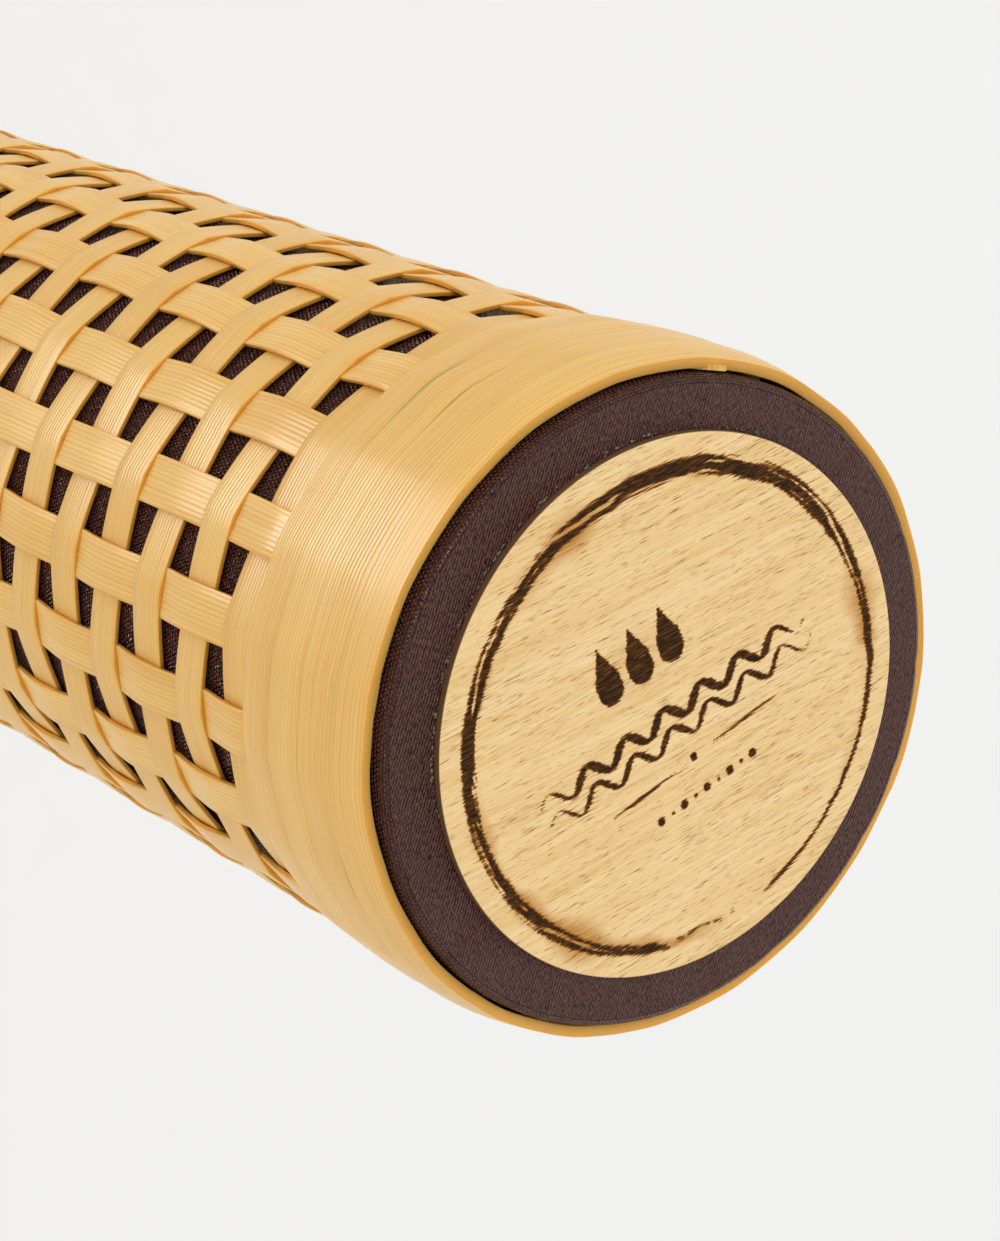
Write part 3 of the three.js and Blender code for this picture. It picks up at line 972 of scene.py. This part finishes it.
cloth_bump = add(book_cloth, "Bump", {"Height": proud, "Strength": 1.0,
                                      "Distance": cloth_depth.outputs[0]})
cloth_rough = add(book_cloth, "MapRange", {"Value": on_side, "To Min": 0.38, "To Max": 0.12})
cloth_shader = add(book_cloth, "BsdfPrincipled", {
    "Base Color": cloth_colour.outputs["Result"], "Roughness": cloth_rough.outputs[0],
    "IOR": 1.5, "Specular IOR Level": 0.5, "Specular Tint": colour("#F0C8BC"),
    "Normal": cloth_bump.outputs[0]})
finish_material(book_cloth, cloth_shader)

# %% [markdown]
# The veneer is a pale close-grained wood, sanded and left bare. Its pores are short dark
# dashes along the grain, a millimetre or more long and a tenth wide. Burning turns it brown
# to near black, with an orange halo where the heat crept sideways.

# %% Veneer material
veneer = new_material("veneer_pale_bare")
wood_place = add(veneer, "TexCoord").outputs["Object"]
along_grain = add(veneer, "Mapping", {"Vector": wood_place, "Rotation": (0, 0, -GRAIN_ANGLE)}).outputs[0]
board_place = add(veneer, "Mapping", {"Vector": along_grain, "Scale": (25, 900, 1)}).outputs[0]
board = add(veneer, "TexNoise", {"Vector": board_place, "Scale": 1, "Detail": 3}).outputs["Fac"]
fine_place = add(veneer, "Mapping", {"Vector": along_grain, "Scale": (130, 5200, 1)}).outputs[0]
fine = add(veneer, "TexNoise", {"Vector": fine_place, "Scale": 1, "Detail": 2}).outputs["Fac"]
pore_place = add(veneer, "Mapping", {"Vector": along_grain, "Scale": (460, 8800, 1)}).outputs[0]
pores = add(veneer, "TexNoise", {"Vector": pore_place, "Scale": 1, "Detail": 1}).outputs["Fac"]
patch_place = add(veneer, "Mapping", {"Vector": along_grain, "Scale": (45, 210, 1)}).outputs[0]
patches = add(veneer, "TexNoise", {"Vector": patch_place, "Scale": 1, "Detail": 2}).outputs["Fac"]
pale = add(veneer, "ValToRGB", {"Fac": board},
           stops=[(0.3, "#E9C382"), (0.5, "#F2D094"), (0.7, "#F7DAA4")]).outputs[0]
lines = add(veneer, "ValToRGB", {"Fac": fine},
            stops=[(0.36, "#DCB06A"), (0.56, "#F7D9A4")]).outputs[0]
streaked = add(veneer, "Mix", {"Factor": 0.35, "A": pale, "B": lines}, data_type="RGBA")
pore_here = add(veneer, "Math", {0: patches, 1: 0.25, 2: pores}, operation="MULTIPLY_ADD").outputs[0]
pore_mask = add(veneer, "MapRange", {"Value": pore_here, "From Min": 0.77, "From Max": 0.85,
                                     "To Max": 0.7}).outputs[0]
pored = add(veneer, "Mix", {"Factor": pore_mask, "A": streaked.outputs["Result"],
                            "B": colour("#94642A")}, data_type="RGBA")
scorch = add(veneer, "Attribute", attribute_name="scorch").outputs["Fac"]
scorch_part = add(veneer, "Math", {0: scorch, 1: fine}, operation="MULTIPLY").outputs[0]
scorch_here = add(veneer, "MapRange", {"Value": scorch_part, "From Min": 0.05,
                                       "From Max": 0.46}).outputs[0]
tinted = add(veneer, "Mix", {"Factor": scorch_here, "A": pored.outputs["Result"],
                             "B": colour("#C28840")}, data_type="RGBA")
burn = add(veneer, "Attribute", attribute_name="burn").outputs["Fac"]
fray_place = add(veneer, "Mapping", {"Vector": along_grain, "Scale": (420, 6400, 1)}).outputs[0]
frayed = add(veneer, "TexNoise", {"Vector": fray_place, "Scale": 1, "Detail": 2}).outputs["Fac"]
burn_rough = add(veneer, "Math", {0: frayed, 1: 2.0, 2: burn}, operation="MULTIPLY_ADD").outputs[0]
singed = add(veneer, "MapRange", {"Value": burn_rough, "From Min": 1.27, "From Max": 1.45}).outputs[0]
singed_wood = add(veneer, "Mix", {"Factor": singed, "A": tinted.outputs["Result"],
                                  "B": colour("#A9692A")}, data_type="RGBA")
burn_core = add(veneer, "MapRange", {"Value": burn_rough, "From Min": 1.48, "From Max": 1.7}).outputs[0]
charred = add(veneer, "ValToRGB", {"Fac": frayed},
              stops=[(0.36, "#1C0E02"), (0.52, "#382006"), (0.72, "#6C4412")]).outputs[0]
burnt_wood = add(veneer, "Mix", {"Factor": burn_core, "A": singed_wood.outputs["Result"],
                                 "B": charred}, data_type="RGBA")
wood_split = add(veneer, "SeparateXYZ", {0: wood_place})
wood_flat = add(veneer, "CombineXYZ", {"X": wood_split.outputs["X"], "Y": wood_split.outputs["Y"]})
wood_middle = add(veneer, "VectorMath", {0: wood_flat.outputs[0], 1: (*DISC_SHIFT, 0)},
                  operation="SUBTRACT").outputs[0]
wood_out = add(veneer, "VectorMath", {0: wood_middle}, operation="LENGTH").outputs["Value"]
cut_edge = add(veneer, "MapRange", {"Value": wood_out, "From Min": disc_radius - 0.13 * MM,
                                    "From Max": disc_radius - 0.04 * MM}).outputs[0]
veneer_colour = add(veneer, "Mix", {"Factor": cut_edge, "A": burnt_wood.outputs["Result"],
                                    "B": colour("#6B4A32")}, data_type="RGBA")
veneer_relief = add(veneer, "Math", {0: pore_mask, 1: -0.6, 2: board}, operation="MULTIPLY_ADD")
veneer_bump = add(veneer, "Bump", {"Height": veneer_relief.outputs[0], "Strength": 0.3,
                                   "Distance": 0.05 * MM})
veneer_shader = add(veneer, "BsdfPrincipled", {
    "Base Color": veneer_colour.outputs["Result"], "Roughness": 0.7, "IOR": 1.5,
    "Specular IOR Level": 0.12, "Normal": veneer_bump.outputs[0]})
finish_material(veneer, veneer_shader)

# %% [markdown]
# The hidden parts get honest materials too, because other renders may cut the stick open:
# grey-brown spiral-wound board, a softer pressed board for the plugs, bright drawn steel
# nails, smooth grey-brown pebbles and cloudy dried glue.

# %% Board, plug, steel, pebble and glue materials
tube_board = new_material("tube_board_brown")
tube_place = add(tube_board, "TexCoord").outputs["Object"]
fibre_place = add(tube_board, "Mapping", {"Vector": tube_place, "Scale": (900, 900, 300)}).outputs[0]
fibres = add(tube_board, "TexNoise", {"Vector": fibre_place, "Scale": 1, "Detail": 4}).outputs["Fac"]
board_brown = add(tube_board, "ValToRGB", {"Fac": fibres},
                  stops=[(0.3, "#8C7152"), (0.7, "#B3966F")]).outputs[0]
tube_bump = add(tube_board, "Bump", {"Height": fibres, "Strength": 0.4, "Distance": 0.1 * MM})
finish_material(tube_board, add(tube_board, "BsdfPrincipled", {
    "Base Color": board_brown, "Roughness": 0.85, "Normal": tube_bump.outputs[0]}))

plug_board = new_material("plug_board_pressed")
plug_place = add(plug_board, "TexCoord").outputs["Object"]
chips = add(plug_board, "TexVoronoi", {"Vector": plug_place, "Scale": 700}).outputs["Color"]
chip_value = add(plug_board, "SeparateXYZ", {0: chips}).outputs["X"]
plug_brown = add(plug_board, "ValToRGB", {"Fac": chip_value},
                 stops=[(0.0, "#9C7448"), (1.0, "#C9A26C")]).outputs[0]
plug_bump = add(plug_board, "Bump", {"Height": chip_value, "Strength": 0.2, "Distance": 0.1 * MM})
finish_material(plug_board, add(plug_board, "BsdfPrincipled", {
    "Base Color": plug_brown, "Roughness": 0.75, "Normal": plug_bump.outputs[0]}))

nail_steel = new_material("nail_steel_drawn")
nail_place = add(nail_steel, "TexCoord").outputs["Object"]
drawn = add(nail_steel, "TexNoise", {"Vector": nail_place, "Scale": 1800, "Detail": 2}).outputs["Fac"]
nail_grey = add(nail_steel, "ValToRGB", {"Fac": drawn},
                stops=[(0.3, "#8E9092"), (0.7, "#B5B7B8")]).outputs[0]
nail_rough = add(nail_steel, "MapRange", {"Value": drawn, "To Min": 0.25, "To Max": 0.45}).outputs[0]
finish_material(nail_steel, add(nail_steel, "BsdfPrincipled", {
    "Base Color": nail_grey, "Metallic": 1.0, "Roughness": nail_rough}))

pebble = new_material("pebble_smooth")
pebble_place = add(pebble, "TexCoord").outputs["Object"]
mottle = add(pebble, "TexNoise", {"Vector": pebble_place, "Scale": 700, "Detail": 4}).outputs["Fac"]
pebble_grey = add(pebble, "ValToRGB", {"Fac": mottle},
                  stops=[(0.3, "#6E655A"), (0.5, "#9A8F80"), (0.7, "#B8AEA0")]).outputs[0]
pebble_bump = add(pebble, "Bump", {"Height": mottle, "Strength": 0.3, "Distance": 0.08 * MM})
finish_material(pebble, add(pebble, "BsdfPrincipled", {
    "Base Color": pebble_grey, "Roughness": 0.5, "Normal": pebble_bump.outputs[0]}))

dried_glue = new_material("glue_dried_clear")
glue_place = add(dried_glue, "TexCoord").outputs["Object"]
cloudy = add(dried_glue, "TexNoise", {"Vector": glue_place, "Scale": 1500, "Detail": 2}).outputs["Fac"]
glue_colour = add(dried_glue, "ValToRGB", {"Fac": cloudy},
                  stops=[(0.35, "#4C4E42"), (0.65, "#94967F")]).outputs[0]
finish_material(dried_glue, add(dried_glue, "BsdfPrincipled", {
    "Base Color": glue_colour, "Roughness": 0.25, "Transmission Weight": 0.35}))

# %% Give every piece its material
def dress(piece, material):
    if not piece.material_slots:
        piece.data.materials.append(None)
    for slot in piece.material_slots:
        slot.material = material


for piece in stake_pieces:
    dress(piece, stake_rattan)
dress(weaver, weaver_rattan)
for piece in bindings:
    dress(piece, binding_rattan)
dress(cloth, book_cloth)
for piece in discs:
    dress(piece, veneer)
for piece in glue:
    dress(piece, dried_glue)
for piece in pebbles:
    dress(piece, pebble)
for name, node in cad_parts.items():
    if name == "core_tube":
        dress(node, tube_board)
    elif name.startswith("end_plug"):
        dress(node, plug_board)
    elif name.startswith("nail"):
        dress(node, nail_steel)
print("materials:", len(bpy.data.materials))

# %% [markdown]
# The setting is a pale studio: a wide white floor, just below the lower disc, under a white
# sky that is a little brighter on one side. One softbox stands low on the camera's side of the
# stick, just out of its view, and puts the bright band along the bindings; a large dim one
# above rounds the form.

# %% Stage and light
bpy.ops.mesh.primitive_plane_add(size=12, location=(0, 0, -0.2 * MM))
floor = bpy.context.object
floor.name = "floor"
paper = new_material("floor_paper_white")
paper_place = add(paper, "TexCoord").outputs["Object"]
tooth = add(paper, "TexNoise", {"Vector": paper_place, "Scale": 40, "Detail": 2}).outputs["Fac"]
paper_white = add(paper, "ValToRGB", {"Fac": tooth},
                  stops=[(0.0, "#F7F7F5"), (1.0, "#F9F9F7")]).outputs[0]
finish_material(paper, add(paper, "BsdfPrincipled", {
    "Base Color": paper_white, "Roughness": 0.9, "Specular IOR Level": 0.1}))
dress(floor, paper)

world = bpy.data.worlds.new("studio")
bpy.context.scene.world = world
world.use_nodes = True
sky_tree = world.node_tree
sky_tree.nodes["Background"].inputs["Color"].default_value = (1, 1, 1, 1)
sky_place = sky_tree.nodes.new("ShaderNodeTexCoord")
sky_lean = sky_tree.nodes.new("ShaderNodeVectorMath")
sky_lean.operation = "DOT_PRODUCT"
sky_lean.inputs[1].default_value = (-0.95, -0.05, 0.3)
sky_level = sky_tree.nodes.new("ShaderNodeMapRange")
sky_level.inputs["From Min"].default_value = -1
sky_level.inputs["To Min"].default_value = 0.75
sky_level.inputs["To Max"].default_value = 1.05
sky_tree.links.new(sky_place.outputs["Generated"], sky_lean.inputs[0])
sky_tree.links.new(sky_lean.outputs["Value"], sky_level.inputs["Value"])
sky_tree.links.new(sky_level.outputs[0], sky_tree.nodes["Background"].inputs["Strength"])


def softbox(name, azimuth, distance, height, aim_height, size, power):
    """A square area light at this azimuth in degrees, aimed at a height on the axis."""
    data = bpy.data.lights.new(name, "AREA")
    data.shape = "SQUARE"
    data.size = size
    data.energy = power
    lamp = bpy.data.objects.new(name, data)
    bpy.context.scene.collection.objects.link(lamp)
    turn = math.radians(azimuth)
    lamp.location = (distance * math.cos(turn), distance * math.sin(turn), height)
    facing = Vector((0, 0, aim_height)) - lamp.location
    lamp.rotation_mode = "QUATERNION"
    lamp.rotation_quaternion = facing.to_track_quat("-Z", "Y")
    return lamp


band_light = softbox("band_light", azimuth=-112, distance=0.42, height=0.35,
                     aim_height=0.58, size=0.24, power=3.2)
band_light.visible_diffuse = False
softbox("key_light", azimuth=-165, distance=1.6, height=2.0, aim_height=0.5, size=0.8, power=2)
bpy.context.scene.view_settings.view_transform = "Standard"
print("lights placed")
